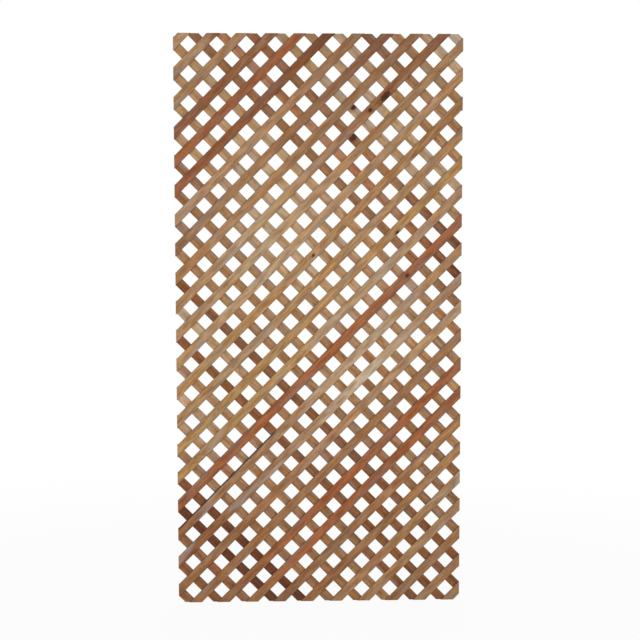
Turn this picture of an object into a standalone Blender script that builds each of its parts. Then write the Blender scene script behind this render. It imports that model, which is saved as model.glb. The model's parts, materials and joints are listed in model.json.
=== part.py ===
# A diagonal lattice panel of thin wooden slats, nominally four by eight feet.
#
# Two layers of sawn laths lie across each other. The front layer leans to the
# right, the back layer leans to the left, and the mat is trimmed to a rectangle,
# so every slat ends in a sawn face that is flush with the panel's edge.
#
# The panel stands upright in the XZ plane and its front faces -Y. The origin is
# the middle of its bottom edge. Sizes are in metres.

import math
import random

import bmesh
import bpy

# The trimmed panel
PANEL_WIDTH = 1.219
PANEL_HEIGHT = 2.432

# The lattice: from one slat to the next, measured along the panel's edges
PITCH_ACROSS = 0.1215
PITCH_UP = 0.1228
SLATS_PER_LAYER = 30
# The middle of the lattice lies a little above the middle of the trimmed panel
LATTICE_RISE = 0.0037

# The slats
SLAT_WIDTH = 0.038
SLAT_THICKNESS = 0.00635
EASED_EDGE = 0.0009
EASED_EDGE_STEPS = 2
# The raw lath is longer than the slat by this much at each end, and is trimmed
TRIM_ALLOWANCE = SLAT_WIDTH
# The layers lie against each other with the thinnest gap between them
LAYER_GAP = 0.0003
# The block that the panel is trimmed to is deeper than both layers together
OUTLINE_DEPTH = 0.03

# The slats aren't laid quite true: the most that one is out of line, out of
# angle and over or under its width
STRAY_SIDEWAYS = 0.0014
STRAY_ANGLE = math.radians(0.07)
STRAY_WIDTH = 0.0004
STRAY_SEED = 11

# Colours of the weathered softwood, as red, green and blue from 0 to 255
WOOD_TONES = {
    "pale": (176, 150, 121),
    "light_tan": (169, 133, 100),
    "golden_tan": (166, 131, 89),
    "tan": (159, 123, 88),
    "brown": (143, 103, 70),
    "red_brown": (146, 94, 63),
    "dark_brown": (131, 84, 50),
    "deep_brown": (105, 60, 35),
}
WOOD_ROUGHNESS = 0.78

# Tones of the front slats in runs, from the upper left corner of the panel
FRONT_TONES = (
    ("tan", 3),
    ("red_brown", 3),
    ("tan", 4),
    ("golden_tan", 6),
    ("red_brown", 1),
    ("light_tan", 3),
    ("brown", 1),
    ("red_brown", 2),
    ("tan", 4),
    ("brown", 1),
    ("tan", 2),
)
# Tones of the back slats in runs, from the lower left corner of the panel
BACK_TONES = (
    ("red_brown", 3),
    ("deep_brown", 2),
    ("tan", 3),
    ("brown", 1),
    ("dark_brown", 1),
    ("tan", 1),
    ("dark_brown", 1),
    ("tan", 4),
    ("light_tan", 4),
    ("brown", 3),
    ("light_tan", 3),
    ("brown", 1),
    ("tan", 1),
    ("pale", 2),
)

LATTICE_MIDDLE = PANEL_HEIGHT / 2 + LATTICE_RISE
LEAN = math.atan2(PITCH_UP, PITCH_ACROSS)


def clear_scene():
    """Remove every object that the scene starts with."""
    for thing in list(bpy.data.objects):
        bpy.data.objects.remove(thing, do_unlink=True)


def new_collection(name):
    """Add a collection to the scene."""
    collection = bpy.data.collections.new(name)
    bpy.context.scene.collection.children.link(collection)
    return collection


def new_box(name, length, depth, height, collection):
    """Add a box that is centred on its own origin."""
    mesh = bpy.data.meshes.new(name)
    shape = bmesh.new()
    bmesh.ops.create_cube(shape, size=1.0)
    bmesh.ops.scale(shape, vec=(length, depth, height), verts=shape.verts)
    shape.to_mesh(mesh)
    shape.free()
    box = bpy.data.objects.new(name, mesh)
    collection.objects.link(box)
    return box


def new_outline(collection):
    """Add the block that the lattice is trimmed to."""
    outline = new_box("panel_outline", PANEL_WIDTH, OUTLINE_DEPTH, PANEL_HEIGHT, collection)
    outline.location.z = PANEL_HEIGHT / 2
    outline.hide_render = True
    outline.display_type = "WIRE"
    return outline


def new_layer(name, side, collection):
    """Add an empty at the middle of one layer. side is -1 for the front, 1 for the back."""
    layer = bpy.data.objects.new(name, None)
    layer.empty_display_size = SLAT_WIDTH
    layer.location = (0, side * (SLAT_THICKNESS + LAYER_GAP) / 2, LATTICE_MIDDLE)
    collection.objects.link(layer)
    return layer


def linear(level):
    """Turn a colour level from 0 to 255 into Blender's linear value."""
    share = level / 255
    if share <= 0.04045:
        return share / 12.92
    return ((share + 0.055) / 1.055) ** 2.4


def wood(name, tone):
    """Make one slat's wood."""
    material = bpy.data.materials.new(name)
    material.use_nodes = True
    shader = material.node_tree.nodes["Principled BSDF"]
    colour = [linear(level) for level in WOOD_TONES[tone]]
    shader.inputs["Base Color"].default_value = (*colour, 1)
    shader.inputs["Roughness"].default_value = WOOD_ROUGHNESS
    shader.inputs["Metallic"].default_value = 0
    return material


def centre_line(number, slope):
    """Where a slat's centre line meets the outline, as places along X, lowest first.

    It also returns where the line crosses the lattice's middle height.
    """
    at_middle = (number - (SLATS_PER_LAYER + 1) / 2) * PITCH_ACROSS
    at_bottom = at_middle - LATTICE_MIDDLE / slope
    at_top = at_middle + (PANEL_HEIGHT - LATTICE_MIDDLE) / slope
    start = max(-PANEL_WIDTH / 2, min(at_bottom, at_top))
    end = min(PANEL_WIDTH / 2, max(at_bottom, at_top))
    return start, end, at_middle


def add_slat(name, number, leaning, tone, layer, outline, stray, collection):
    """Lay one raw lath on its line and trim it. leaning is 1 to the right, -1 to the left."""
    slope = leaning * PITCH_UP / PITCH_ACROSS
    start, end, at_middle = centre_line(number, slope)
    length = (end - start) / math.cos(LEAN) + 2 * TRIM_ALLOWANCE
    width = SLAT_WIDTH + stray.uniform(-STRAY_WIDTH, STRAY_WIDTH)
    slat = new_box(name, length, SLAT_THICKNESS, width, collection)
    slat.data.materials.append(wood(name + "_wood", tone))

    middle = (start + end) / 2
    sideways = stray.uniform(-STRAY_SIDEWAYS, STRAY_SIDEWAYS)
    turned = leaning * LEAN + stray.uniform(-STRAY_ANGLE, STRAY_ANGLE)
    slat.parent = layer
    slat.location.x = middle - sideways * math.sin(turned)
    slat.location.z = (middle - at_middle) * slope + sideways * math.cos(turned)
    slat.rotation_euler.y = -turned

    eased = slat.modifiers.new("eased_edges", "BEVEL")
    eased.width = EASED_EDGE
    eased.segments = EASED_EDGE_STEPS
    trimmed = slat.modifiers.new("trimmed_ends", "BOOLEAN")
    trimmed.operation = "INTERSECT"
    trimmed.solver = "EXACT"
    trimmed.object = outline
    return slat


def add_layer_of_slats(side_name, side, leaning, tones, outline, stray, collection):
    """Lay all the slats of one layer, counted along X."""
    layer = new_layer(side_name + "_layer", side, collection)
    tone_of_each = [tone for tone, count in tones for _ in range(count)]
    for number, tone in enumerate(tone_of_each, start=1):
        name = f"{side_name}_slat_{number:02d}"
        add_slat(name, number, leaning, tone, layer, outline, stray, collection)


clear_scene()
panel = new_collection("lattice_panel")
cutters = new_collection("cutters")
outline_block = new_outline(cutters)
stray_numbers = random.Random(STRAY_SEED)
add_layer_of_slats("front", -1, 1, FRONT_TONES, outline_block, stray_numbers, panel)
add_layer_of_slats("back", 1, -1, BACK_TONES, outline_block, stray_numbers, panel)
bpy.context.view_layer.update()
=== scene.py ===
import json
import math
import random
from collections import namedtuple

import bmesh
import bpy
from mathutils import Euler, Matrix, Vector


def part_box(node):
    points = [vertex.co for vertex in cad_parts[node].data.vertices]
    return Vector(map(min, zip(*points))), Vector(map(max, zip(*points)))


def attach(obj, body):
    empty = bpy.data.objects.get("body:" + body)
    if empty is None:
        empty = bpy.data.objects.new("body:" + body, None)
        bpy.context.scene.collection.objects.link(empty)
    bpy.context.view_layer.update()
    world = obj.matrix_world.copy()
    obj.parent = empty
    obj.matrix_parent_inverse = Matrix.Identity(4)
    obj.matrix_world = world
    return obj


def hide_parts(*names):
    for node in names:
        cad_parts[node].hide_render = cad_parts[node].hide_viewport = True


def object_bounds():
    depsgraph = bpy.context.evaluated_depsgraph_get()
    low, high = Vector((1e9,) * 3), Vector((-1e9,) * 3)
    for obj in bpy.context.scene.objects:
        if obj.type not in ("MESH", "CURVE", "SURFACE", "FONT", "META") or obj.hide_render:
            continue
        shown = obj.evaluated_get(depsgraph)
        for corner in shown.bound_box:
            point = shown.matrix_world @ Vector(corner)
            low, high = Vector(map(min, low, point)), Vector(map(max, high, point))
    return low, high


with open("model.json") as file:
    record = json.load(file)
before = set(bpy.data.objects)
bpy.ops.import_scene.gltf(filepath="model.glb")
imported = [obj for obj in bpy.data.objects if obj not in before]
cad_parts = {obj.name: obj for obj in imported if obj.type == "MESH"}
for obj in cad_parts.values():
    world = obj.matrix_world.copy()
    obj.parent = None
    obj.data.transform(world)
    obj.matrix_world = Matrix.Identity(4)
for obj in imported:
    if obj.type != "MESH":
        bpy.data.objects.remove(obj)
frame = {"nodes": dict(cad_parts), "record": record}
cad_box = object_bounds()

# The camera
# It stands a little to the left of the panel and above its middle, and looks
# slightly down, as the panel's edges in the photograph say.
CAMERA_PLACE = (-0.1356, -4.6921, 1.5687)
CAMERA_LENS = 61.88
CAMERA_SENSOR = 36.0
CAMERA_DOWN = math.radians(4.174)
CAMERA_ASIDE = math.radians(1.707)
CAMERA_ROLL = math.radians(0.083)

looking = Euler((0, CAMERA_ROLL, 0)).to_matrix()
looking = Euler((-CAMERA_DOWN, 0, 0)).to_matrix() @ looking
looking = Euler((0, 0, -CAMERA_ASIDE)).to_matrix() @ looking
level = Euler((math.pi / 2, 0, 0)).to_matrix()
camera_data = bpy.data.cameras.new("camera")
camera_data.lens = CAMERA_LENS
camera_data.sensor_width = CAMERA_SENSOR
camera = bpy.data.objects.new("camera", camera_data)
camera.location = CAMERA_PLACE
camera.rotation_euler = (looking @ level).to_euler()
bpy.context.scene.collection.objects.link(camera)
bpy.context.scene.camera = camera
bpy.context.scene.view_settings.view_transform = "Standard"

# The front slats
# Thirty sawn softwood laths that lean to the right. Each is copied from one raw
# lath with eased edges, bent a little, left rough by the saw, laid on its line
# and trimmed by the panel's outline. Some have a split at an end.
SLATS_PER_LAYER = 30
LATH_LENGTH = 1.84
LATH_WIDTH = 0.038
LATH_THICKNESS = 0.00635
EASED_EDGE = 0.0009
EASED_EDGE_STEPS = 2
SAWN_END_EDGE = 0.00035
# The wide faces are divided into lanes, and all faces twice along the lath, so
# the two numbers of lengths multiply
FACE_LANES = 6
LENGTHS = (14, 15)
# The size of the noise that bends a lath and of the one that roughens it, and how
# far each moves the surface, from one side of true to the other
BEND_SIZE = 0.9
BEND_SWING = 0.0022
FUZZ_SIZE = 0.021
FUZZ_SWING = 0.0011
FUZZ_ON_INNER_FACE = 0.12
# Splits at the sawn ends: how likely one is, how far from the middle line it may
# be as a share of the width, its length, its opening, and the share of the opening
# that is left at its tip. Only a slat longer than so many of the longest has any.
SPLIT_CHANCE = 0.28
SPLIT_ASIDE = 0.3
SPLIT_LENGTHS = (0.016, 0.055)
SPLIT_OPENINGS = (0.0007, 0.0016)
SPLIT_TIP = 0.1
LONGEST_SPLITS_IN_SLAT = 4
# Bark left on the upper front edge of a slat: how far it reaches from the lower end,
# its width, depth and lumps, and the share of its reach over which it thins out
BARK_EDGES = {"front_slat_18": 0.66}
BARK_WIDTH = 0.0052
BARK_DEEP = 0.0026
BARK_SIZE = 0.03
BARK_THINS = 0.25
# Knots: where they are on the panel, and half their length and half their width
Knot = namedtuple("Knot", "x z along across")
KNOTS = {
    "front_slat_10": [
        Knot(0.283, 2.172, 0.024, 0.013),
        Knot(0.217, 2.113, 0.009, 0.007),
    ],
    "front_slat_13": [Knot(-0.024, 1.502, 0.007, 0.005)],
    "front_slat_15": [Knot(0.334, 1.600, 0.009, 0.006)],
    "front_slat_17": [Knot(0.377, 1.416, 0.008, 0.006)],
    "back_slat_23": [Knot(0.146, 1.999, 0.011, 0.017)],
    "back_slat_24": [Knot(0.147, 2.125, 0.009, 0.012)],
}

# How a slat lies: its middle, its turn, its length and width, and the Y direction
# of its outer face
Lie = namedtuple("Lie", "middle turn length width outward")
CAD_LOW, CAD_HIGH = cad_box
X_AXIS = 0
Z_AXIS = 2
# A face faces a way if its normal points that way by this share, an edge runs along
# an axis by this share, and a slat's narrow face turns to Y by less than this
FACING = 0.9
STRAIGHT = 0.99
UPRIGHT = 0.1
# Points this close are merged, and edges up to this angle are shaded smooth
MERGE_WITHIN = 0.00001
SMOOTH_ANGLE = math.radians(38)
NOTHING = 0.0
HALFWAY = 0.5
WHOLE = 1.0


def take(piece):
    """Select this object alone."""
    bpy.ops.object.select_all(action="DESELECT")
    piece.select_set(True)
    bpy.context.view_layer.objects.active = piece


def pick(piece, mode, wanted):
    """In edit mode, select the edges or faces that are wanted, and nothing else."""
    bpy.ops.mesh.select_mode(type=mode)
    bpy.ops.mesh.select_all(action="DESELECT")
    shape = bmesh.from_edit_mesh(piece.data)
    for item in shape.edges if mode == "EDGE" else shape.faces:
        if wanted(item):
            item.select_set(True)
    bmesh.update_edit_mesh(piece.data)


def runs_along(axis):
    """A test for edges that run along an axis and are longer than an eased edge."""

    def test(edge):
        reach = edge.verts[1].co - edge.verts[0].co
        return abs(reach[axis]) > STRAIGHT * reach.length and reach.length > 2 * EASED_EDGE

    return test


def raw_lath():
    """Saw one long lath along X, with eased edges and its faces divided for shaping."""
    size = (LATH_LENGTH, LATH_THICKNESS, LATH_WIDTH)
    bpy.ops.object.select_all(action="DESELECT")
    bpy.ops.mesh.primitive_cube_add(size=1, location=(0, 0, 0), scale=size)
    lath = bpy.context.object
    lath.name = "raw_lath"
    bpy.ops.object.mode_set(mode="EDIT")
    pick(lath, "EDGE", runs_along(X_AXIS))
    bpy.ops.mesh.bevel(offset=EASED_EDGE, segments=EASED_EDGE_STEPS, affect="EDGES")
    pick(lath, "EDGE", runs_along(Z_AXIS))
    bpy.ops.mesh.subdivide(number_cuts=FACE_LANES - 1)
    for lengths in LENGTHS:
        pick(lath, "EDGE", runs_along(X_AXIS))
        bpy.ops.mesh.subdivide(number_cuts=lengths - 1)
    bpy.ops.object.mode_set(mode="OBJECT")
    inner = [v.index for v in lath.data.vertices if v.co.y > 0]
    outer = [v.index for v in lath.data.vertices if v.co.y <= 0]
    rough = lath.vertex_groups.new(name="rough")
    rough.add(outer, WHOLE, "REPLACE")
    rough.add(inner, FUZZ_ON_INNER_FACE, "REPLACE")
    return lath


def copy_of(pattern, name):
    """Copy a piece, with a mesh of its own."""
    copy = pattern.copy()
    copy.data = pattern.data.copy()
    copy.name = name
    copy.data.name = name
    bpy.context.scene.collection.objects.link(copy)
    return copy


def directions(turn):
    """The directions along and across a slat."""
    along = Vector((math.cos(turn), 0, math.sin(turn)))
    return along, Vector((-along.z, 0, along.x))


def lie_of(node, outward):
    """How a slat of the frame lies. outward is the Y direction of its outer face."""
    mesh = frame["nodes"][node].data
    standing = [face for face in mesh.polygons if abs(face.normal.y) < UPRIGHT]
    long_edge = max(standing, key=lambda face: face.area)
    turn = math.atan2(long_edge.normal.z, long_edge.normal.x) - math.pi / 2
    while turn < -math.pi / 2:
        turn += math.pi
    along, across = directions(turn)
    along_reach = [v.co.dot(along) for v in mesh.vertices]
    across_reach = [v.co.dot(across) for v in mesh.vertices]
    low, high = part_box(node)
    middle = along * (min(along_reach) + max(along_reach)) / 2
    middle += across * (min(across_reach) + max(across_reach)) / 2
    middle.y = (low.y + high.y) / 2
    length = max(along_reach) - min(along_reach)
    return Lie(middle, turn, length, max(across_reach) - min(across_reach), outward)


def on_slat(lie, x, z):
    """Where a point of the panel is on a slat: along it and across it from its middle."""
    along, across = directions(lie.turn)
    from_middle = Vector((x, lie.middle.y, z)) - lie.middle
    return from_middle.dot(along), from_middle.dot(across)


def noise_of(name, size, depth):
    """A noise that fills space, for shaping."""
    noise = bpy.data.textures.new(name, "CLOUDS")
    noise.noise_scale = size
    noise.noise_depth = depth
    return noise


def shaped_by(piece, noise, strength, direction, group="", middle=HALFWAY):
    """Move a piece's surface by a noise that fills space."""
    shaper = piece.modifiers.new(noise.name, "DISPLACE")
    shaper.texture = noise
    shaper.texture_coords = "GLOBAL"
    shaper.strength = strength
    shaper.mid_level = middle
    shaper.direction = direction
    shaper.vertex_group = group
    take(piece)
    bpy.ops.object.modifier_apply(modifier=shaper.name)


def leave_bark(lath, lie, reach):
    """Wane the upper front edge of a slat, as far as reach from its lower end."""
    along, across = directions(lie.turn)
    take(lath)
    bpy.ops.object.mode_set(mode="EDIT")
    bpy.ops.mesh.select_all(action="SELECT")
    inside = lie.middle + across * (lie.width / 2 - BARK_WIDTH)
    bpy.ops.mesh.bisect(plane_co=inside, plane_no=across)
    bpy.ops.object.mode_set(mode="OBJECT")
    start = -lie.length / 2
    waned = lath.vertex_groups.new(name="waned")
    for vertex in lath.data.vertices:
        place = vertex.co - lie.middle
        ahead = (reach + start - place.dot(along)) / reach
        at_edge = place.dot(across) > lie.width / 2 - 2 * EASED_EDGE
        in_front = place.y * lie.outward > LATH_THICKNESS / 2 - 2 * EASED_EDGE
        if at_edge and in_front and ahead > 0:
            waned.add([vertex.index], min(WHOLE, ahead / BARK_THINS), "REPLACE")
    shaped_by(lath, bark_noise, -BARK_DEEP, "NORMAL", "waned", NOTHING)


def saw(place, outwards):
    """In edit mode, saw off all that lies outwards of a plane, and close the cut."""
    bpy.ops.mesh.select_all(action="SELECT")
    bpy.ops.mesh.bisect(plane_co=place, plane_no=outwards, use_fill=True, clear_outer=True)


def smooth_cuts(piece):
    """In edit mode, clear away the doubles, slivers and stray faces that cuts leave."""
    bpy.ops.mesh.select_all(action="SELECT")
    bpy.ops.mesh.remove_doubles(threshold=MERGE_WITHIN)
    bpy.ops.mesh.dissolve_degenerate(threshold=MERGE_WITHIN)
    pick(piece, "FACE", lambda face: any(edge.is_boundary for edge in face.edges))
    bpy.ops.mesh.delete(type="FACE")


def trim(piece, node):
    """Saw a slat off at the panel's edges, and ease the sawn ends a little."""
    low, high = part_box(node)
    planes = (
        (low.x - CAD_LOW.x, Vector((CAD_LOW.x, 0, 0)), Vector((-1, 0, 0))),
        (CAD_HIGH.x - high.x, Vector((CAD_HIGH.x, 0, 0)), Vector((1, 0, 0))),
        (low.z - CAD_LOW.z, Vector((0, 0, CAD_LOW.z)), Vector((0, 0, -1))),
        (CAD_HIGH.z - high.z, Vector((0, 0, CAD_HIGH.z)), Vector((0, 0, 1))),
    )
    take(piece)
    bpy.ops.object.mode_set(mode="EDIT")
    for gap, place, outwards in planes:
        if gap < EASED_EDGE:
            saw(place, outwards)
            for face_depth, facing in ((low.y, -1), (high.y, 1)):
                corner = place - outwards * SAWN_END_EDGE
                corner.y = face_depth
                saw(corner, outwards + Vector((0, facing, 0)))
    smooth_cuts(piece)
    bpy.ops.object.mode_set(mode="OBJECT")


def sawn_end(lie, end, across):
    """How far along a slat its sawn end is, on a line beside its middle line."""
    along_way, across_way = directions(lie.turn)
    start = lie.middle + across_way * across
    sideways_edge = CAD_HIGH.x if end > 0 else CAD_LOW.x
    level_edge = CAD_HIGH.z if end * along_way.z > 0 else CAD_LOW.z
    to_side = (sideways_edge - start.x) / along_way.x
    to_level = (level_edge - start.z) / along_way.z
    return min(end * to_side, end * to_level)


def split_end(piece, lie, end, across, length, opening):
    """Open a split in a slat from its left end (-1) or its right end (1)."""
    along_way, across_way = directions(lie.turn)
    wedge_length = length + LATH_WIDTH
    ahead = sawn_end(lie, end, across) - length + wedge_length / 2
    bpy.ops.object.select_all(action="DESELECT")
    bpy.ops.mesh.primitive_cube_add(size=1, scale=(wedge_length, LATH_WIDTH, opening))
    wedge = bpy.context.object
    bpy.ops.object.mode_set(mode="EDIT")
    pick(wedge, "FACE", lambda face: face.normal.x * end < -FACING)
    bpy.ops.transform.resize(value=(1, 1, SPLIT_TIP))
    bpy.ops.object.mode_set(mode="OBJECT")
    wedge.rotation_euler = (0, -lie.turn, 0)
    wedge.location = lie.middle + along_way * end * ahead + across_way * across
    bpy.ops.object.transform_apply(location=True, rotation=True, scale=True)
    cut = piece.modifiers.new("split", "BOOLEAN")
    cut.object = wedge
    cut.operation = "DIFFERENCE"
    cut.solver = "EXACT"
    take(piece)
    bpy.ops.object.modifier_apply(modifier=cut.name)
    bpy.data.objects.remove(wedge, do_unlink=True)
    bpy.ops.object.mode_set(mode="EDIT")
    smooth_cuts(piece)
    bpy.ops.object.mode_set(mode="OBJECT")


# Colours of the weathered wood, as red, green and blue from 0 to 255
WOOD_TONES = {
    "bleached": (190, 170, 147),
    "silver": (184, 159, 131),
    "pale": (176, 150, 121),
    "light_tan": (169, 133, 100),
    "golden_tan": (166, 131, 89),
    "tan": (159, 123, 88),
    "rosy_tan": (165, 115, 80),
    "honey": (152, 111, 75),
    "brown": (143, 103, 70),
    "red_brown": (148, 93, 59),
    "rust_brown": (152, 92, 53),
    "dull_brown": (134, 92, 68),
    "dark_brown": (131, 84, 48),
    "deep_brown": (103, 57, 29),
}
# Slats whose colour drifts along them, from the lower end to the upper end.
# The others are the colour of their material slot all along.
FRONT_DRIFTS = {
    1: ("pale", "light_tan", "pale"),
    2: ("dull_brown", "light_tan", "light_tan", "dark_brown"),
    4: ("dull_brown", "dark_brown", "brown"),
    6: ("red_brown", "dark_brown", "dark_brown", "dark_brown", "deep_brown"),
    7: ("light_tan", "light_tan", "brown"),
    8: ("honey", "tan", "brown", "dull_brown"),
    9: ("tan", "tan", "brown"),
    10: ("tan", "pale", "honey", "dull_brown"),
    11: ("tan", "pale", "tan", "tan"),
    12: ("golden_tan", "pale", "light_tan", "light_tan"),
    13: ("golden_tan", "golden_tan", "honey"),
    14: ("tan", "golden_tan", "golden_tan", "tan"),
    16: ("golden_tan", "golden_tan", "pale", "tan"),
    17: ("red_brown", "rust_brown", "red_brown", "red_brown"),
    18: ("brown", "tan", "pale", "tan"),
    19: ("dark_brown", "brown", "bleached", "brown"),
    20: ("brown", "honey", "light_tan", "pale"),
    21: ("honey", "honey"),
    22: ("brown", "rust_brown", "rust_brown", "red_brown"),
    23: ("honey", "rust_brown", "rust_brown", "red_brown"),
    24: ("brown", "honey", "tan"),
    25: ("brown", "honey", "tan"),
    26: ("tan", "light_tan", "tan", "pale"),
    27: ("tan", "light_tan", "tan"),
    28: ("honey", "honey"),
    29: ("tan", "tan", "brown"),
}
# How far blotches pull the drift along a slat, as a share of its length
DRIFT_UNEVEN = 0.2

# What shade or hue each feature turns the wood to
DARK_BLOTCH = (0.72, 0.61, 0.5, 1)
LIGHT_BLOTCH = (1.22, 1.29, 1.36, 1)
GREYED = (0.94, 1.02, 1.14, 1)
RUSSET = (1.09, 0.97, 0.67, 1)
OLIVE = (0.97, 1.02, 0.96, 1)
ROSY = (1.05, 0.96, 1.02, 1)
LATE_WOOD = (0.62, 0.47, 0.35, 1)
STAINED = (0.62, 0.5, 0.42, 1)
# Rust marks by the staples, and painted shade along the slats' edges
RUST_AND_EDGE_SHADE = (0.42, 0.33, 0.28, 1)
END_GRAIN = (0.6, 0.52, 0.45, 1)
KNOT_HALO = (0.5, 0.32, 0.22, 1)
BARK = (0.062, 0.034, 0.02, 1)
SILVERED = (1.2, 1.13, 1.04)

# The noises of the wood's figure: their sizes along, through and across a slat
FIBRES = (0.045, 0.0011, 0.0011)
FINE_FIBRES = (0.014, 0.00035, 0.00035)
PORES = (0.024, 0.0005, 0.0006)
STREAKS = (0.4, 0.010, 0.008)
BLOTCHES = (0.075, 0.02, 0.015)
HUE_DRIFTS = (0.12, 0.02, 0.011)
WEATHERING = (0.2, 0.1, 0.03)
STAINS = (0.045, 0.011, 0.009)
RING_WANDER = (0.3, 0.03, 0.04)
# How fine they are
PLAIN = 1.0
SOFT = 2.0
FINE = 3.0
# Where each, on its way from 0 to 1, starts to show and shows in full
PORES_SHOW = (0.62, 0.7)
STREAKS_SHOW = (0.3, 0.7)
BLOTCHES_SHOW = (0.2, 0.8)
HUES_SHOW = (0.32, 0.68)
WEATHERING_SHOWS = (0.48, 0.72)
STAINS_SHOW = (0.6, 0.76)
# Each slat has its own stretch of them, shifted by up to this much each way
PATTERN_SHIFT = 9.0

# The coarse fibres' share, beside the fine ones, and how far the fibres feather the
# edges of blotches and hues
FIBRE_SHARE = 0.55
FEATHERING = 0.5
# The shades that a feature runs between, or how strongly it shows, from 0 to 1
STREAK_SHADES = (0.86, 1.14)
# The fibres' tone, with painted shade in their hollows and painted light on their ridges
FIBRE_GRAIN_AND_SHADE = (0.7, 1.3)
# Dark pores, with painted shade in the pits that the bump sinks there
PORE_DARK_AND_SHADE = (1.0, 0.6)
LATE_WOOD_STRENGTH = 0.6
SILVER_STRENGTH = 0.36
STAIN_STRENGTH = 0.45

# Growth rings: how far apart they are, how far they wander and a knot pushes them,
# and where the dark late wood starts and ends, as shares of a ring
RING_STEPS = (0.0019, 0.0034)
RING_WANDER_MOST = 0.007
RINGS_PUSHED_MOST = 0.006
LATE_WOOD_STARTS = (0.4, 0.94)
LATE_WOOD_ENDS = (0.95, 1.0)
# The pith: how far in front of the slat or behind it, how far aside, and its slope
PITH_DEPTHS = (0.008, 0.06)
PITH_ASIDE = 0.05
PITH_SLOPE = 0.022
# The dark wood round a knot: where it fades, in knot radii, and how uneven that is
HALO_FADES = (0.6, 2.7)
HALO_UNEVEN = 0.9
HALO_STRENGTH = 0.75

# Dirt and painted shade where the layers cross, rust marks by the staples, and
# painted shade on the edges.
# From one crossing to the next is so far along X, and so far along a slat.
CROSSINGS_ALONG_X = 0.06075
CROSSINGS_ALONG_SLAT = 0.08637
DIRT_AND_SHADE_REACH = 0.005
DIRT_AND_SHADE_SHARES = (0.3, 0.9)
DIRT_AND_SHADE_DARKENS = (1.0, 0.6)
RUST_MARK_FADES = (0.004, 0.013)
RUST_MARK_STRENGTH = 1.3
# Painted shade along the slats' edges: how far in it reaches, how unevenly, and how dark in front and
# behind
EDGE_SHADE_REACH = 0.0028
EDGE_SHADE_SHARES = (0.25, 1.15)
EDGE_SHADE_IN_FRONT = 0.5
EDGE_SHADE_BEHIND = 0.7
# The bark's ragged border, as shares of the bark's width, and its fading end
BARK_RAGGED = 0.7
BARK_BORDER = 0.3
BARK_FADE = 0.05
# End grain starts so far short of the panel's edges, with rings of these shades
END_GRAIN_STARTS = (-0.0005, -0.0001)
END_RING_SHADES = (0.75, 1.45)

# The surface
RING_HEIGHT = 0.0003
FIBRE_HEIGHT = 0.0012
PORE_DEPTH = 0.0003
SAW_MARK_STEP = 0.0046
SAW_MARK_SLANT = 0.12
SAW_MARK_HEIGHT = 0.0002
WOOD_BUMP = 0.9
WOOD_ROUGHNESS = 0.74
FIBRES_ROUGHEN = 0.12
WEATHER_ROUGHENS = 0.06
LATE_WOOD_SMOOTHS = 0.06
WOOD_SPECULAR = 0.3

# The numbers of a Mix node's sockets: its factor and its two colours, and what it gives
MIX_SOCKETS = (0, 6, 7)
MIX_COLOUR = 2


def linear(tone):
    """Turn a tone's levels from 0 to 255 into a linear colour."""
    shares = [level / 255 for level in tone]
    return tuple(s / 12.92 if s <= 0.04045 else ((s + 0.055) / 1.055) ** 2.4 for s in shares)


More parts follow.
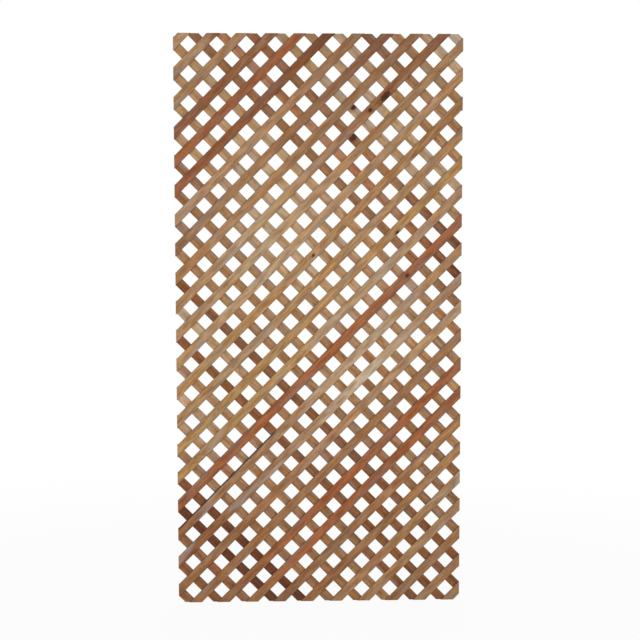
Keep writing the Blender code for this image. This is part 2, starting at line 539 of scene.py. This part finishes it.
class Shade:
    """A socket of a shader, or none yet. Arithmetic on it adds Math nodes."""

    def __init__(self, tree, socket=None):
        self.tree = tree
        self.socket = socket

    def add(self, kind, settings=None, values=None, output=0):
        """Add a node: its settings first, then its sockets' values or links."""
        node = self.tree.nodes.new(kind)
        for name, setting in (settings or {}).items():
            if name == "stops":
                self.set_stops(node.color_ramp, setting)
            else:
                setattr(node, name, setting)
        for name, value in (values or {}).items():
            if isinstance(value, Shade):
                self.tree.links.new(value.socket, node.inputs[name])
            else:
                node.inputs[name].default_value = value
        return Shade(self.tree, node.outputs[output])

    @staticmethod
    def set_stops(ramp, stops):
        """Give a colour ramp its stops, as pairs of a place and a colour."""
        while len(ramp.elements) < len(stops):
            ramp.elements.new(WHOLE)
        for stop, (place, colour) in zip(ramp.elements, stops, strict=True):
            stop.position = place
            stop.color = (*colour, 1)

    def maths(self, operation, *values):
        """A Math node on these values."""
        return self.add("ShaderNodeMath", {"operation": operation}, dict(enumerate(values)))

    def __add__(self, other):
        return self.maths("ADD", self, other)

    def __sub__(self, other):
        return self.maths("SUBTRACT", self, other)

    def __mul__(self, other):
        return self.maths("MULTIPLY", self, other)

    def __truediv__(self, other):
        return self.maths("DIVIDE", self, other)

    def __radd__(self, other):
        return self.maths("ADD", other, self)

    def __rsub__(self, other):
        return self.maths("SUBTRACT", other, self)

    def __abs__(self):
        return self.maths("ABSOLUTE", self)

    def rising(self, start, end):
        """0 up to start, 1 from end on, and a smooth rise between them."""
        settings = {"interpolation_type": "SMOOTHSTEP"}
        values = {"Value": self, "From Min": start, "From Max": end}
        return self.add("ShaderNodeMapRange", settings, values)

    def between(self, low, high):
        """low where this number is 0, high where it is 1, and in line between them."""
        return low + self * (high - low)

    def vectors(self, operation, other):
        """Vector Math on this vector or colour and another."""
        settings = {"operation": operation}
        return self.add("ShaderNodeVectorMath", settings, {0: self, 1: other})

    def cloud(self, size, detail=SOFT):
        """A soft noise from 0 to 1 on this place, whose patches have that size."""
        values = {"Vector": self.vectors("DIVIDE", size), "Scale": WHOLE, "Detail": detail}
        return self.add("ShaderNodeTexNoise", values=values)

    def tinted(self, tint):
        """This colour times another colour."""
        return self.vectors("MULTIPLY", tint if isinstance(tint, Shade) else tint[:3])

    def shaded(self, strength):
        """This colour times a number."""
        values = {"Vector": self, "Scale": strength}
        return self.add("ShaderNodeVectorMath", {"operation": "SCALE"}, values)

    def picks(self, low, high):
        """The colour low where this number is 0, high where it is 1."""
        values = dict(zip(MIX_SOCKETS, (self, low, high), strict=True))
        return self.add("ShaderNodeMix", {"data_type": "RGBA"}, values, output=MIX_COLOUR)

    def laid(self, middle, turn):
        """This place as measured along, through and across a slat from a middle."""
        values = {"Vector": self, "Location": middle, "Rotation": (0, -turn, 0)}
        return self.add("ShaderNodeMapping", {"vector_type": "TEXTURE"}, values)

    def parts(self):
        """The X, Y and Z of this vector."""
        split = self.add("ShaderNodeSeparateXYZ", values={"Vector": self})
        return [Shade(self.tree, socket) for socket in split.socket.node.outputs]


def distance_of(first, second):
    """How long a straight line is that runs so far one way and so far across it."""
    squares = first * first + second * second
    return squares.maths("SQRT", squares)


def greatest(values):
    """The greatest of some numbers of a shader, or 0 if there are none."""
    most = NOTHING
    for value in values:
        most = value.maths("MAXIMUM", value, most)
    return most


def new_finish(name):
    """A new material and its shader."""
    material = bpy.data.materials.new(name)
    material.use_nodes = True
    return material, material.node_tree.nodes["Principled BSDF"]


def feed(shader, values):
    """Link what changes over the surface to a shader's sockets."""
    for socket_name, value in values.items():
        value.tree.links.new(value.socket, shader.inputs[socket_name])


# A place on a slat: along, through and across it, and its place in the slat's noises
Spot = namedtuple("Spot", "along through across pattern")


def knot_halo(lie, knots, spot):
    """How near a place is to a knot: 1 at the knot and 0 well away from it."""
    halos = []
    for knot in knots:
        knot_along, knot_across = on_slat(lie, knot.x, knot.z)
        from_along = (spot.along - knot_along) / knot.along
        from_across = (spot.across - knot_across) / knot.across
        uneven = (spot.pattern.cloud((knot.along, knot.along, knot.across)) - HALFWAY) * HALO_UNEVEN
        radii = distance_of(from_along, from_across) + uneven
        halos.append(1 - radii.rising(*HALO_FADES))
    return greatest(halos)


def growth_rings(spot, wander, halo, dice):
    """The dark late wood of rings about a pith that isn't quite in line with the slat."""
    pith_through = dice.uniform(*PITH_DEPTHS) * dice.choice((-1, 1))
    pith_across = dice.uniform(-PITH_ASIDE, PITH_ASIDE)
    pith_lean = dice.uniform(-PITH_SLOPE, PITH_SLOPE)
    pith_drift = dice.uniform(-PITH_SLOPE, PITH_SLOPE)
    from_pith = spot.through - pith_through - spot.along * pith_lean
    aside = spot.across - pith_across - spot.along * pith_drift
    radius = distance_of(from_pith, aside) + wander + halo * halo * RINGS_PUSHED_MOST
    rings = radius.maths("FRACT", radius / dice.uniform(*RING_STEPS))
    return rings.rising(*LATE_WOOD_STARTS) * (1 - rings.rising(*LATE_WOOD_ENDS))


def with_drift(colours, lie, spot, blotches):
    """These colours one after another from a slat's lower end to its upper end."""
    stops = [(index / (len(colours) - 1), colour) for index, colour in enumerate(colours)]
    upward = 1 if lie.turn > 0 else -1
    rise = spot.along * upward / lie.length + HALFWAY + (blotches - HALFWAY) * DRIFT_UNEVEN
    return rise.add("ShaderNodeValToRGB", {"stops": stops}, {"Fac": rise})


def with_dirt_and_shade(wood, lie, spot, fibres, blotches):
    """The wood with dirt, painted shade and rust marks at the crossings, and painted edge shade."""
    crossing = (spot.along * math.cos(lie.turn) + lie.middle.x) / CROSSINGS_ALONG_X + HALFWAY
    from_crossing = abs(crossing.maths("FRACT", crossing) - HALFWAY) * CROSSINGS_ALONG_SLAT
    # Where the other layer's slats lie over the inner face: dirt, and painted shade beside their
    # edges
    corner = 1 - abs(from_crossing - LATH_WIDTH / 2).rising(NOTHING, DIRT_AND_SHADE_REACH)
    inner_side = (spot.through * -lie.outward).rising(NOTHING, LATH_THICKNESS / 2)
    dirt_and_shade = corner * inner_side * fibres.between(*DIRT_AND_SHADE_SHARES)
    wood = wood.shaded(dirt_and_shade.between(*DIRT_AND_SHADE_DARKENS))
    if lie.outward > 0:
        outer_side = spot.through.rising(NOTHING, LATH_THICKNESS / 2)
        by_staple = 1 - distance_of(from_crossing, spot.across).rising(*RUST_MARK_FADES)
        rust = by_staple * outer_side * (fibres * RUST_MARK_STRENGTH)
        wood = rust.picks(wood, wood.tinted(RUST_AND_EDGE_SHADE))
    # Painted shade along the edges, darker on the back slats
    edge_starts = lie.width / 2 - EDGE_SHADE_REACH
    edge = abs(spot.across).rising(edge_starts, lie.width / 2 - EASED_EDGE / 2)
    strength = EDGE_SHADE_BEHIND if lie.outward > 0 else EDGE_SHADE_IN_FRONT
    edge_shade = edge * blotches.between(*EDGE_SHADE_SHARES) * strength
    return edge_shade.picks(wood, wood.tinted(RUST_AND_EDGE_SHADE))


def with_bark(wood, lie, spot, reach, wander, ragged):
    """The wood with the bark that is left on a slat's upper edge."""
    start = lie.width / 2 - 2 * BARK_WIDTH + ragged * (BARK_RAGGED * BARK_WIDTH)
    bark = spot.across.rising(start, start + BARK_BORDER * BARK_WIDTH)
    ahead = reach - lie.length / 2 + wander - spot.along
    return (bark * ahead.rising(NOTHING, BARK_FADE)).picks(wood, BARK)


def with_end_grain(wood, place, late_wood):
    """The wood with its end grain, where the slats were sawn off at the panel's edges."""
    x, _, z = place.parts()
    middle_up = (CAD_LOW.z + CAD_HIGH.z) / 2
    past_side = (abs(x) - CAD_HIGH.x).rising(*END_GRAIN_STARTS)
    past_level = (abs(z - middle_up) - (CAD_HIGH.z - middle_up)).rising(*END_GRAIN_STARTS)
    end_wood = wood.tinted(END_GRAIN).shaded(late_wood.between(*END_RING_SHADES))
    return greatest([past_side, past_level]).picks(wood, end_wood)


def sawn_wood(name, lie, tones, knots, bark_reach, dice):
    """The wood of one slat, on the slat's own directions: along, through and across."""
    material, shader = new_finish(name)
    place = Shade(material.node_tree).add("ShaderNodeTexCoord", output="Object")
    laid_place = place.laid(lie.middle, lie.turn)
    shift = [dice.uniform(-PATTERN_SHIFT, PATTERN_SHIFT) for _ in range(3)]
    pattern = laid_place.vectors("ADD", shift)
    spot = Spot(*laid_place.parts(), pattern)

    # The wood's figure
    halo = knot_halo(lie, knots, spot)
    wander = pattern.cloud(RING_WANDER) * RING_WANDER_MOST
    late_wood = growth_rings(spot, wander, halo, dice)
    fibres = pattern.cloud(FIBRES, FINE) * FIBRE_SHARE
    fibres = fibres + pattern.cloud(FINE_FIBRES) * (1 - FIBRE_SHARE)
    pores = pattern.cloud(PORES, PLAIN).rising(*PORES_SHOW)
    streaks = pattern.cloud(STREAKS)
    feathered = (fibres - HALFWAY) * FEATHERING
    blotches = pattern.cloud(BLOTCHES) + feathered
    hues = pattern.cloud(HUE_DRIFTS) + feathered
    weathered = pattern.cloud(WEATHERING, FINE).rising(*WEATHERING_SHOWS)
    stained = pattern.cloud(STAINS).rising(*STAINS_SHOW)

    # Its colour, from the clean wood to what the weather and its use have done to it, with
    # painted shade in the fibres and pores, where the layers cross and along the edges
    colours = [linear(WOOD_TONES[tone]) for tone in tones]
    wood = with_drift(colours, lie, spot, blotches)
    wood = wood.tinted(hues.rising(*HUES_SHOW).picks(GREYED, RUSSET))
    wood = wood.tinted(streaks.rising(*STREAKS_SHOW).picks(OLIVE, ROSY))
    wood = wood.tinted(blotches.rising(*BLOTCHES_SHOW).picks(DARK_BLOTCH, LIGHT_BLOTCH))
    # The fibres' own tone, with painted shade in the hollows between them and painted light on their
    # ridges
    wood = wood.shaded(streaks.between(*STREAK_SHADES) * fibres.between(*FIBRE_GRAIN_AND_SHADE))
    wood = (late_wood * LATE_WOOD_STRENGTH).picks(wood, wood.tinted(LATE_WOOD))
    # Dark pores, with painted shade in the pits that the bump sinks there
    wood = wood.shaded(pores.between(*PORE_DARK_AND_SHADE))
    middle_colour = colours[len(colours) // 2]
    grey = sum(middle_colour) / len(middle_colour)
    silvered = (*[grey * share for share in SILVERED], 1)
    wood = (weathered * SILVER_STRENGTH).picks(wood, silvered)
    wood = (stained * STAIN_STRENGTH).picks(wood, wood.tinted(STAINED))
    wood = with_dirt_and_shade(wood, lie, spot, fibres, blotches)
    if knots:
        wood = (halo * HALO_STRENGTH).picks(wood, wood.tinted(KNOT_HALO))
    if bark_reach:
        wood = with_bark(wood, lie, spot, bark_reach, wander, fibres + blotches)
    wood = with_end_grain(wood, place, late_wood)

    # Its surface
    roughness = WOOD_ROUGHNESS + fibres * FIBRES_ROUGHEN + weathered * WEATHER_ROUGHENS
    roughness = roughness - late_wood * LATE_WOOD_SMOOTHS
    slanted = spot.along + spot.across * SAW_MARK_SLANT + wander
    saw_marks = slanted.maths("SINE", slanted * (2 * math.pi / SAW_MARK_STEP))
    height = late_wood * RING_HEIGHT + fibres * FIBRE_HEIGHT - pores * PORE_DEPTH
    height = height + saw_marks * blotches * SAW_MARK_HEIGHT
    bump_values = {"Strength": WOOD_BUMP, "Distance": WHOLE, "Height": height}
    bump = height.add("ShaderNodeBump", values=bump_values)
    feed(shader, {"Base Color": wood, "Roughness": roughness, "Normal": bump})
    shader.inputs["Specular IOR Level"].default_value = WOOD_SPECULAR
    return material


def open_splits(lath, lie, dice):
    """Split a slat at one end, at both or at neither."""
    for end in (-1, 1):
        chance = dice.random()
        across = dice.uniform(-SPLIT_ASIDE, SPLIT_ASIDE) * lie.width
        length = dice.uniform(*SPLIT_LENGTHS)
        opening = dice.uniform(*SPLIT_OPENINGS)
        long_enough = lie.length > LONGEST_SPLITS_IN_SLAT * max(SPLIT_LENGTHS)
        if chance < SPLIT_CHANCE and long_enough:
            split_end(lath, lie, end, across, length, opening)


def lay_slat(side, number, outward, drifts, dice):
    """Make one slat's lath, lay it, trim it and give it its wood."""
    node = f"{side}_slat_{number:02d}"
    lie = lie_of(node, outward)
    lath = copy_of(lath_pattern, f"{side}_lath_{number:02d}")
    lath.scale.z = lie.width / LATH_WIDTH
    lath.rotation_euler = (math.pi if outward > 0 else 0, -lie.turn, 0)
    lath.location = lie.middle
    take(lath)
    bpy.ops.object.transform_apply(location=True, rotation=True, scale=True)
    shaped_by(lath, bend_noise, BEND_SWING, "Z")
    shaped_by(lath, fuzz_noise, FUZZ_SWING, "NORMAL", "rough")
    bark_reach = BARK_EDGES.get(node, NOTHING)
    if bark_reach:
        leave_bark(lath, lie, bark_reach)
    trim(lath, node)
    open_splits(lath, lie, dice)
    take(lath)
    bpy.ops.object.shade_smooth_by_angle(angle=SMOOTH_ANGLE)
    slot = wood_slots[node]
    own_tone = slot.removesuffix("_wood")
    tones = drifts.get(number, (own_tone, own_tone))
    knots = KNOTS.get(node, [])
    lath.data.materials.append(sawn_wood(lath.name + "_wood", lie, tones, knots, bark_reach, dice))
    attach(lath, "root")
    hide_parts(node)
    return lie


def lay_layer(side, outward, drifts, seed):
    """Lay all the slats of one layer, and tell how each of them lies."""
    dice = random.Random(seed)
    numbers = range(1, SLATS_PER_LAYER + 1)
    return [lay_slat(side, number, outward, drifts, dice) for number in numbers]


FRONT_SEED = 5
bend_noise = noise_of("bend", BEND_SIZE, depth=0)
fuzz_noise = noise_of("saw_fuzz", FUZZ_SIZE, depth=2)
bark_noise = noise_of("bark", BARK_SIZE, depth=2)
wood_slots = {part["node"]: part["material_slot"] for part in frame["record"]["subparts"]}
lath_pattern = raw_lath()
front_lies = lay_layer("front", -1, FRONT_DRIFTS, FRONT_SEED)

# The back slats
# Thirty laths like those in front, which lean to the left and lie behind them.
# They are darker towards the lower left corner of the panel.
BACK_SEED = 6
BACK_DRIFTS = {
    1: ("brown", "brown"),
    2: ("brown", "dark_brown", "rust_brown"),
    3: ("brown", "red_brown", "brown"),
    5: ("deep_brown", "deep_brown", "dark_brown"),
    6: ("honey", "honey", "tan"),
    7: ("honey", "honey", "honey", "pale"),
    8: ("tan", "honey", "tan", "silver"),
    9: ("dark_brown", "light_tan"),
    11: ("dark_brown", "dark_brown", "tan", "silver"),
    13: ("brown", "tan"),
    14: ("brown", "tan", "tan", "honey"),
    15: ("brown", "honey", "tan", "brown"),
    16: ("tan", "honey", "pale", "dark_brown"),
    17: ("brown", "golden_tan", "pale", "light_tan"),
    18: ("tan", "light_tan", "pale", "golden_tan"),
    19: ("honey", "light_tan", "pale", "light_tan"),
    20: ("honey", "light_tan", "pale", "golden_tan"),
    22: ("deep_brown", "rosy_tan", "rosy_tan", "rosy_tan"),
    23: ("deep_brown", "honey", "brown", "red_brown"),
    24: ("tan", "pale", "golden_tan"),
    25: ("pale", "pale", "silver", "honey"),
    26: ("light_tan", "light_tan", "pale"),
    27: ("honey", "light_tan", "brown", "dull_brown"),
    29: ("silver", "bleached", "bleached", "tan"),
    30: ("bleached", "bleached"),
}
back_lies = lay_layer("back", 1, BACK_DRIFTS, BACK_SEED)
bpy.data.objects.remove(lath_pattern, do_unlink=True)

# The knots
# Tight knots of the same wood, darker and harder than what is round them. Each
# goes right through its slat and stands a hair proud of both faces.
KNOT_SIDES = 28
# The faces are inset in steps, as shares of a radius, and each step is a little higher
KNOT_INSETS = (0.14, 0.28, 0.28)
KNOT_DOME = 1.03
# The size of the noise that makes its oval uneven, and how far
KNOT_NOISE_SIZE = 0.008
KNOT_UNEVEN = 0.0026

KNOT_DARK = (0.010, 0.0035, 0.0015, 1)
KNOT_RED = (0.085, 0.024, 0.007, 1)
# Rings, and how far a noise of this size bends them and the cracks
KNOT_RING_STEP = 0.0014
KNOT_RING_HEIGHT = 0.00008
KNOT_WAVES = (0.006, 0.006, 0.006)
KNOT_RINGS_BENT = 0.004
KNOT_CRACKS_BENT = 2.8
KNOT_CRACKS = 3
KNOT_CRACK_EDGES = (0.975, 0.998)
KNOT_CRACK_DEPTH = 0.0003
# Where the dark rim starts and is darkest, and where the dark heart ends, in radii
KNOT_RIM = (0.66, 0.98)
KNOT_RIM_STRENGTH = 0.9
KNOT_HEART = 0.6
KNOT_HEART_STRENGTH = 0.7
KNOT_RINGS_SHARE = 0.25
KNOT_ROUGHNESS = (0.55, 0.8)
KNOT_SPECULAR = 0.15


def knot_wood(name, knot, lie):
    """The wood of one knot: rings about its own middle, and cracks that run out from it."""
    material, shader = new_finish(name)
    place = Shade(material.node_tree).add("ShaderNodeTexCoord", output="Object")
    about = place.laid((knot.x, lie.middle.y, knot.z), lie.turn)
    along, _, across = about.parts()
    along = along * (knot.across / knot.along)
    waves = about.cloud(KNOT_WAVES) - HALFWAY
    from_middle = distance_of(along, across) + waves * KNOT_RINGS_BENT
    rings = from_middle.maths("FRACT", from_middle / KNOT_RING_STEP)
    bearing = across.maths("ARCTAN2", across, along)
    rays = bearing.maths("SINE", bearing * KNOT_CRACKS + waves * KNOT_CRACKS_BENT)
    cracks = rays.rising(*KNOT_CRACK_EDGES)
    radii = from_middle / knot.across
    rim = radii.rising(*KNOT_RIM) * KNOT_RIM_STRENGTH
    heart = (1 - radii.rising(NOTHING, KNOT_HEART)) * KNOT_HEART_STRENGTH
    # Painted shade in the cracks, which the bump sinks
    darkness = greatest([cracks, rim, heart]) * (1 - KNOT_RINGS_SHARE) + rings * KNOT_RINGS_SHARE
    height = rings * KNOT_RING_HEIGHT - cracks * KNOT_CRACK_DEPTH
    bump = height.add("ShaderNodeBump", values={"Distance": WHOLE, "Height": height})
    colour = darkness.picks(KNOT_RED, KNOT_DARK)
    roughness = darkness.between(*KNOT_ROUGHNESS)
    feed(shader, {"Base Color": colour, "Roughness": roughness, "Normal": bump})
    shader.inputs["Specular IOR Level"].default_value = KNOT_SPECULAR
    return material


def set_knot(name, knot, lie):
    """Turn one knot's oval plug, dome its faces and shave it flush with the slat's edges."""
    bpy.ops.object.select_all(action="DESELECT")
    bpy.ops.mesh.primitive_cylinder_add(
        vertices=KNOT_SIDES, radius=1, depth=LATH_THICKNESS, rotation=(math.pi / 2, 0, 0)
    )
    plug = bpy.context.object
    plug.name = name
    plug.data.name = name
    bpy.ops.object.transform_apply(rotation=True)
    bpy.ops.object.mode_set(mode="EDIT")
    for step in KNOT_INSETS:
        pick(plug, "FACE", lambda face: abs(face.normal.y) > FACING and len(face.verts) == KNOT_SIDES)
        bpy.ops.mesh.inset(thickness=step, use_individual=True)
        bpy.ops.transform.resize(value=(1, KNOT_DOME, 1))
    bpy.ops.object.mode_set(mode="OBJECT")
    plug.scale = (knot.along, 1, knot.across)
    plug.rotation_euler = (0, -lie.turn, 0)
    plug.location = (knot.x, lie.middle.y, knot.z)
    bpy.ops.object.transform_apply(location=True, rotation=True, scale=True)
    shaped_by(plug, knot_noise, KNOT_UNEVEN, "Z")
    _, across = directions(lie.turn)
    take(plug)
    bpy.ops.object.mode_set(mode="EDIT")
    for side in (-1, 1):
        saw(lie.middle + across * side * (lie.width / 2 - EASED_EDGE / 2), across * side)
    bpy.ops.object.mode_set(mode="OBJECT")
    shaped_by(plug, bend_noise, BEND_SWING, "Z")
    shaped_by(plug, fuzz_noise, FUZZ_SWING, "NORMAL")
    bpy.ops.object.shade_smooth_by_angle(angle=SMOOTH_ANGLE)
    plug.data.materials.append(knot_wood(name + "_wood", knot, lie))
    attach(plug, "root")


knot_noise = noise_of("knot", KNOT_NOISE_SIZE, depth=1)
lies = {f"front_slat_{number:02d}": lie for number, lie in enumerate(front_lies, start=1)}
lies |= {f"back_slat_{number:02d}": lie for number, lie in enumerate(back_lies, start=1)}
for node, knots in KNOTS.items():
    for count, knot in enumerate(knots, start=1):
        set_knot(f"knot_{count}_of_{node}", knot, lies[node])

# The staples
# One galvanised wire staple at each crossing, driven from the back through both
# slats. It stops short of the front face, and half of its crown is sunk in the wood.
WIRE_WIDE = 0.0012
WIRE_THICK = 0.0010
WIRE_EASED = WIRE_THICK / 4
CROWN_LENGTH = 0.0112
CROWN_PROUD = 0.0005
LEG_SHORT_OF_FRONT = 0.0008
# An edge is sharp where its faces turn by more than this, in radians
SHARP = 1.0
# How far a staple strays and turns, how far inside the panel's sides it stays, and
# the least wood that it needs below it and above it
STAPLE_STRAY = 0.0018
STAPLE_TWIST = math.radians(9)
STAPLE_INSET = 0.013
STAPLE_NEEDS = 0.012
STAPLE_SEED = 7

ZINC = (0.46, 0.47, 0.48, 1)
DULL_ZINC = (0.28, 0.285, 0.29, 1)
RUST = (0.2, 0.075, 0.03, 1)
MOTTLES = (0.002, 0.002, 0.002)
MOTTLES_SHOW = (0.3, 0.7)
MOTTLES_ROUGHEN = 0.2
RUST_PATCHES = (0.05, 0.05, 0.05)
RUST_PATCH_SHARE = 0.6
RUST_SHOWS = (0.52, 0.62)
RUST_STRENGTH = 0.85
RUST_ROUGHENS = 0.3
ZINC_ROUGHNESS = 0.42
# From clean wire to rusty wire
WIRE_METALLIC = (0.9, 0.1)


def staple_pattern():
    """Bend one staple: a rounded crown along X, and two legs that run towards -Y."""
    inside = CROWN_LENGTH / 2 - WIRE_WIDE
    leg = 2 * LATH_THICKNESS - LEG_SHORT_OF_FRONT - WIRE_THICK + CROWN_PROUD

    def under_a_shoulder(face):
        return face.normal.y < -FACING and abs(face.calc_center_median().x) > inside

    def round_the_crown(edge):
        return all(v.co.y > 0 for v in edge.verts) and edge.calc_face_angle() > SHARP

    bpy.ops.object.select_all(action="DESELECT")
    bpy.ops.mesh.primitive_cube_add(size=1, scale=(CROWN_LENGTH, WIRE_THICK, WIRE_WIDE))
    staple = bpy.context.object
    staple.name = "staple_pattern"
    bpy.ops.object.transform_apply(scale=True)
    bpy.ops.object.mode_set(mode="EDIT")
    for side in (-1, 1):
        bpy.ops.mesh.select_all(action="SELECT")
        bpy.ops.mesh.bisect(plane_co=(side * inside, 0, 0), plane_no=(1, 0, 0))
    pick(staple, "FACE", under_a_shoulder)
    bpy.ops.mesh.extrude_region_move(TRANSFORM_OT_translate={"value": (0, -leg, 0)})
    pick(staple, "EDGE", round_the_crown)
    bpy.ops.mesh.bevel(offset=WIRE_EASED, segments=1, affect="EDGES")
    bpy.ops.object.mode_set(mode="OBJECT")
    return staple


def crossing_of(front, back):
    """Where the middle lines of two slats cross."""
    front_along, _ = directions(front.turn)
    _, back_across = directions(back.turn)
    ahead = (back.middle - front.middle).dot(back_across) / front_along.dot(back_across)
    return front.middle + front_along * ahead


def zinc():
    """Dull galvanised wire, with rust where the zinc has worn off."""
    material, shader = new_finish("galvanised_wire")
    place = Shade(material.node_tree).add("ShaderNodeTexCoord", output="Object")
    mottled = place.cloud(MOTTLES)
    worn = place.cloud(RUST_PATCHES) * RUST_PATCH_SHARE + mottled * (1 - RUST_PATCH_SHARE)
    rusty = worn.rising(*RUST_SHOWS)
    metal = mottled.rising(*MOTTLES_SHOW).picks(ZINC, DULL_ZINC)
    colour = (rusty * RUST_STRENGTH).picks(metal, RUST)
    roughness = ZINC_ROUGHNESS + mottled * MOTTLES_ROUGHEN + rusty * RUST_ROUGHENS
    metallic = rusty.between(*WIRE_METALLIC)
    feed(shader, {"Base Color": colour, "Roughness": roughness, "Metallic": metallic})
    return material


def staple_places():
    """The crossings that take a staple, those at the panel's sides moved inwards."""
    furthest = CAD_HIGH.x - STAPLE_INSET
    places = []
    for front_lie in front_lies:
        for back_lie in back_lies:
            crossing = crossing_of(front_lie, back_lie)
            within_sides = abs(crossing.x) < CAD_HIGH.x + STAPLE_INSET
            if within_sides and STAPLE_NEEDS < crossing.z < CAD_HIGH.z - STAPLE_NEEDS:
                crossing.x = max(-furthest, min(furthest, crossing.x))
                places.append(crossing)
    return places


def drive_staples(name, crossings, pattern, dice):
    """Drive a staple at each of these crossings, and join them into one piece."""
    copies = []
    for place in crossings:
        staple = copy_of(pattern, name)
        stray = Vector((dice.uniform(-1, 1), 0, dice.uniform(-1, 1))) * STAPLE_STRAY
        staple.location = place + stray
        staple.location.y = CAD_HIGH.y + CROWN_PROUD - WIRE_THICK / 2
        staple.rotation_euler.y = dice.uniform(-1, 1) * STAPLE_TWIST
        copies.append(staple)
    bpy.ops.object.select_all(action="DESELECT")
    for staple in copies:
        staple.select_set(True)
    bpy.context.view_layer.objects.active = copies[0]
    bpy.ops.object.join()
    bpy.ops.object.transform_apply(location=True, rotation=True, scale=True)
    staples = bpy.context.object
    bpy.ops.object.shade_smooth_by_angle(angle=SMOOTH_ANGLE)
    staples.data.materials.append(galvanised_wire)
    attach(staples, "root")


galvanised_wire = zinc()
one_staple = staple_pattern()
staple_dice = random.Random(STAPLE_SEED)
half_way_up = (CAD_LOW.z + CAD_HIGH.z) / 2
all_places = staple_places()
lower_places = [place for place in all_places if place.z < half_way_up]
upper_places = [place for place in all_places if place.z >= half_way_up]
drive_staples("lower_staples", lower_places, one_staple, staple_dice)
drive_staples("upper_staples", upper_places, one_staple, staple_dice)
bpy.data.objects.remove(one_staple, do_unlink=True)

# The floor and the light
# A plain white floor that fades into a white world, with one large soft lamp in
# front of the panel and one behind it. The panel's soft shadow stays on the floor.
FLOOR_SIZE = 40.0
FLOOR_WHITE = (0.86, 0.86, 0.86, 1)
FLOOR_ROUGHNESS = 0.9
# To the camera the floor glows by this share near the panel, and in full from the
# second of these distances on
FLOOR_GLOW = 0.93
FLOOR_FADES = (1.2, 3.5)
WORLD_WHITE = (1, 1, 1, 1)
WORLD_LIGHT = 0.42
PANEL_MIDDLE = (CAD_LOW + CAD_HIGH) / 2
FRONT_LAMP = (-0.4, -4.3, 1.5)
FRONT_LAMP_POWER = 132
BACK_LAMP = (0.7, 4.3, 1.5)
BACK_LAMP_POWER = 112
LAMP_SIZE = 2.6


def seen_white(tree):
    """1 for what the camera sees, straight or in a gloss, and 0 for light on the object."""
    path = tree.nodes.new("ShaderNodeLightPath")
    rays = ("Is Camera Ray", "Is Glossy Ray", "Is Transmission Ray")
    return greatest([Shade(tree, path.outputs[ray]) for ray in rays])


def white_floor():
    """Matt white paint that glows for the camera, so that the floor fades into the world."""
    material, shader = new_finish("white_floor")
    shader.inputs["Base Color"].default_value = FLOOR_WHITE
    shader.inputs["Roughness"].default_value = FLOOR_ROUGHNESS
    shader.inputs["Specular IOR Level"].default_value = NOTHING
    tree = material.node_tree
    new = Shade(tree)
    place = new.add("ShaderNodeTexCoord", output="Object")
    from_panel = new.add("ShaderNodeVectorMath", {"operation": "LENGTH"}, {0: place}, output="Value")
    glow_share = from_panel.rising(*FLOOR_FADES).between(FLOOR_GLOW, WHOLE) * seen_white(tree)
    glow = new.add("ShaderNodeEmission")
    matt = Shade(tree, shader.outputs[0])
    look = new.add("ShaderNodeMixShader", values={0: glow_share, 1: matt, 2: glow})
    feed(tree.nodes["Material Output"], {"Surface": look})
    return material


def hang_lamp(name, place, power):
    """Hang one square soft lamp and turn it to the panel's middle."""
    lamp = bpy.data.lights.new(name, "AREA")
    lamp.shape = "SQUARE"
    lamp.size = LAMP_SIZE
    lamp.energy = power
    holder = bpy.data.objects.new(name, lamp)
    holder.location = place
    holder.rotation_euler = (PANEL_MIDDLE - Vector(place)).to_track_quat("-Z", "Y").to_euler()
    holder.visible_camera = False
    bpy.context.scene.collection.objects.link(holder)


bpy.ops.object.select_all(action="DESELECT")
bpy.ops.mesh.primitive_plane_add(size=FLOOR_SIZE, location=(0, 0, 0))
floor = bpy.context.object
floor.name = "floor"
floor.data.materials.append(white_floor())

world = bpy.data.worlds.new("studio")
world.use_nodes = True
bpy.context.scene.world = world
background = world.node_tree.nodes["Background"]
background.inputs["Color"].default_value = WORLD_WHITE
world_strength = seen_white(world.node_tree).between(WORLD_LIGHT, WHOLE)
feed(background, {"Strength": world_strength})

hang_lamp("front_lamp", FRONT_LAMP, FRONT_LAMP_POWER)
hang_lamp("back_lamp", BACK_LAMP, BACK_LAMP_POWER)
